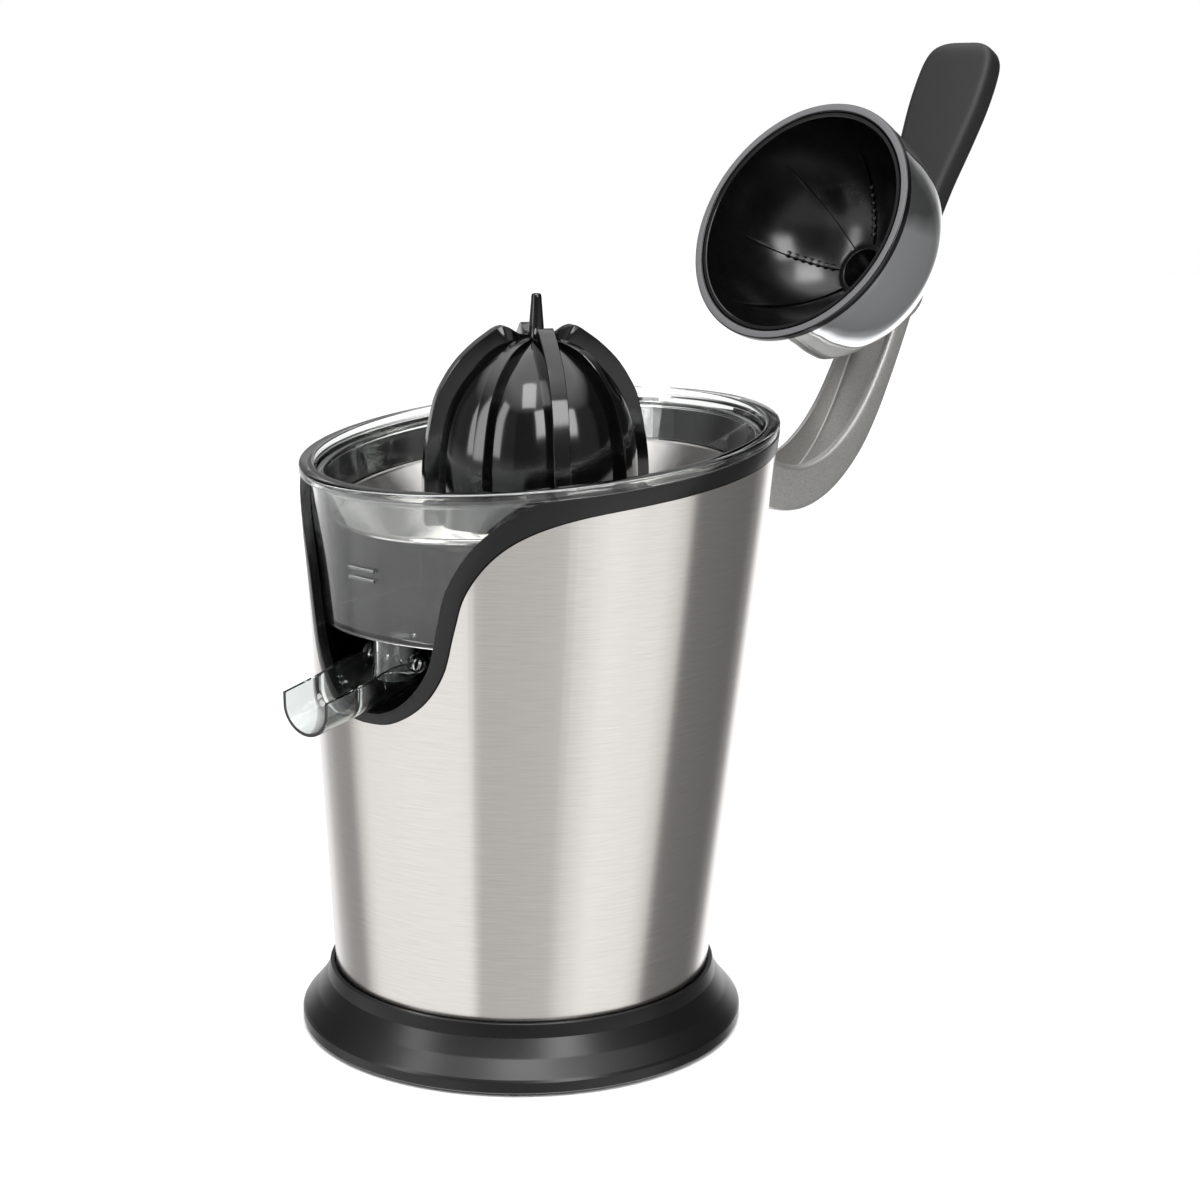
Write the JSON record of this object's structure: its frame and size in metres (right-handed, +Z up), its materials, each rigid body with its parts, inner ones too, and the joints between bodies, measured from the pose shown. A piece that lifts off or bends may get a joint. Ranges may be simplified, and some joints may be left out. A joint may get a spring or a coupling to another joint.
{
  "type": "citrus press juicer",
  "caption": "Electric lever citrus press: a steel-clad motor base, clear juice collector with tilting spout, steel sieve, driven reamer cone and a hinged arm with a press cap.",
  "frame": {"origin": "centre of the round base, on the surface the feet stand on", "axes": "+Z up; the spout points along -Y and the lever is hinged at +Y; X = 0 is the plane of symmetry"},
  "size_m": [0.1768, 0.3776, 0.3773],
  "materials": {
    "satin_black": "satin moulded black",
    "gloss_black": "high gloss black",
    "soft_black": "soft-touch black",
    "satin_grey": "satin grey",
    "black_rubber": "matt",
    "brushed_steel": "horizontally brushed",
    "bright_steel": "bright",
    "chrome": "polished",
    "cast_aluminium": "bead blasted",
    "clear_plastic": "clear",
    "gear_plastic": "natural acetal",
    "bronze": "plain",
    "windings": "copper windings on a laminated core"
  },
  "bodies": {
    "housing": {"base_ring": "satin_black", "bottom_cover": "satin_black", "foot_1": "black_rubber", "foot_2": "black_rubber", "foot_3": "black_rubber", "foot_4": "black_rubber", "cover_screw_1": "bright_steel", "cover_screw_2": "bright_steel", "cover_screw_3": "bright_steel", "cable_inlet": "black_rubber", "steel_housing": "brushed_steel", "trim_band": "satin_black", "chassis": "satin_black", "hinge_bracket": "satin_black", "motor_stator": "windings", "motor_end_lower": "cast_aluminium", "motor_end_upper": "cast_aluminium", "motor_post_1": "bright_steel", "motor_post_2": "bright_steel", "motor_post_3": "bright_steel", "gear_plate_lower": "bright_steel", "gear_plate_upper": "bright_steel", "plate_spacer_1": "bright_steel", "plate_spacer_2": "bright_steel", "plate_spacer_3": "bright_steel", "shaft_bush": "bronze", "shaft_seal": "black_rubber", "microswitch": "satin_black", "return_spring": "bright_steel"},
    "lever": {"arm": "cast_aluminium", "grip": "soft_black", "grip_screw_1": "bright_steel", "grip_screw_2": "bright_steel", "hinge_pin": "bright_steel", "cap_rim": "satin_grey", "cap_liner": "gloss_black", "cap_shell": "chrome", "cap_bush": "gloss_black", "cap_spacer": "cast_aluminium", "cap_screw": "bright_steel"},
    "collector": {"collector": "clear_plastic", "level_line_1": "clear_plastic", "level_line_2": "clear_plastic"},
    "spout": {"spout": "clear_plastic"},
    "sieve": {"sieve": "bright_steel", "sieve_hub": "gloss_black"},
    "press": {"thrust_collar": "bronze", "switch_plunger": "gloss_black"},
    "drive": {"drive_shaft": "bright_steel", "shaft_circlip": "bright_steel", "output_gear": "gear_plastic"},
    "intermediate": {"intermediate_wheel": "gear_plastic", "intermediate_pinion": "bright_steel", "layshaft": "bright_steel"},
    "motor": {"motor_rotor": "bright_steel", "motor_pinion": "bright_steel"},
    "cone": {"cone": "gloss_black"}
  },
  "joints": [
    {"name": "lever_hinge", "type": "hinge", "parent": "housing", "child": "lever", "pos_m": [0, 0.107, 0.215], "axis": [-1, 0, 0], "range_deg": [-117, 0]},
    {"name": "collector_lift", "type": "slide", "parent": "housing", "child": "collector", "axis": [0, 0, 1], "range_m": [0, 0.06]},
    {"name": "sieve_lift", "type": "slide", "parent": "collector", "child": "sieve", "axis": [0, 0, 1], "range_m": [0, 0.06]},
    {"name": "spout_tilt", "type": "hinge", "parent": "collector", "child": "spout", "pos_m": [0, -0.062, 0.151], "axis": [-1, 0, 0], "range_deg": [0, 22]},
    {"name": "press_slide", "type": "slide", "parent": "housing", "child": "press", "axis": [0, 0, 1], "range_m": [-0.0025, 0], "stiffness_N_per_m": 4000, "springref_m": 0.002, "deforming": ["return_spring"]},
    {"name": "shaft_spin", "type": "hinge", "parent": "press", "child": "drive", "pos_m": [0, 0.0075, 0.15], "axis": [0, 0, 1], "continuous": true},
    {"name": "cone_lift", "type": "slide", "parent": "drive", "child": "cone", "axis": [0, 0, 1], "range_m": [0, 0.18]},
    {"name": "intermediate_spin", "type": "hinge", "parent": "housing", "child": "intermediate", "pos_m": [0, 0.03875, 0.1], "axis": [0, 0, 1], "continuous": true},
    {"name": "motor_spin", "type": "hinge", "parent": "housing", "child": "motor", "pos_m": [0, 0.0075, 0.05], "axis": [0, 0, 1], "continuous": true}
  ],
  "couplings": [
    {"joint": "intermediate_spin", "follows": "motor_spin", "ratio": -0.25},
    {"joint": "shaft_spin", "follows": "motor_spin", "ratio": 0.0625},
    {"joint": "sieve_lift", "follows": "collector_lift", "ratio": 1},
    {"joint": "cone_lift", "follows": "collector_lift", "ratio": 3}
  ]
}
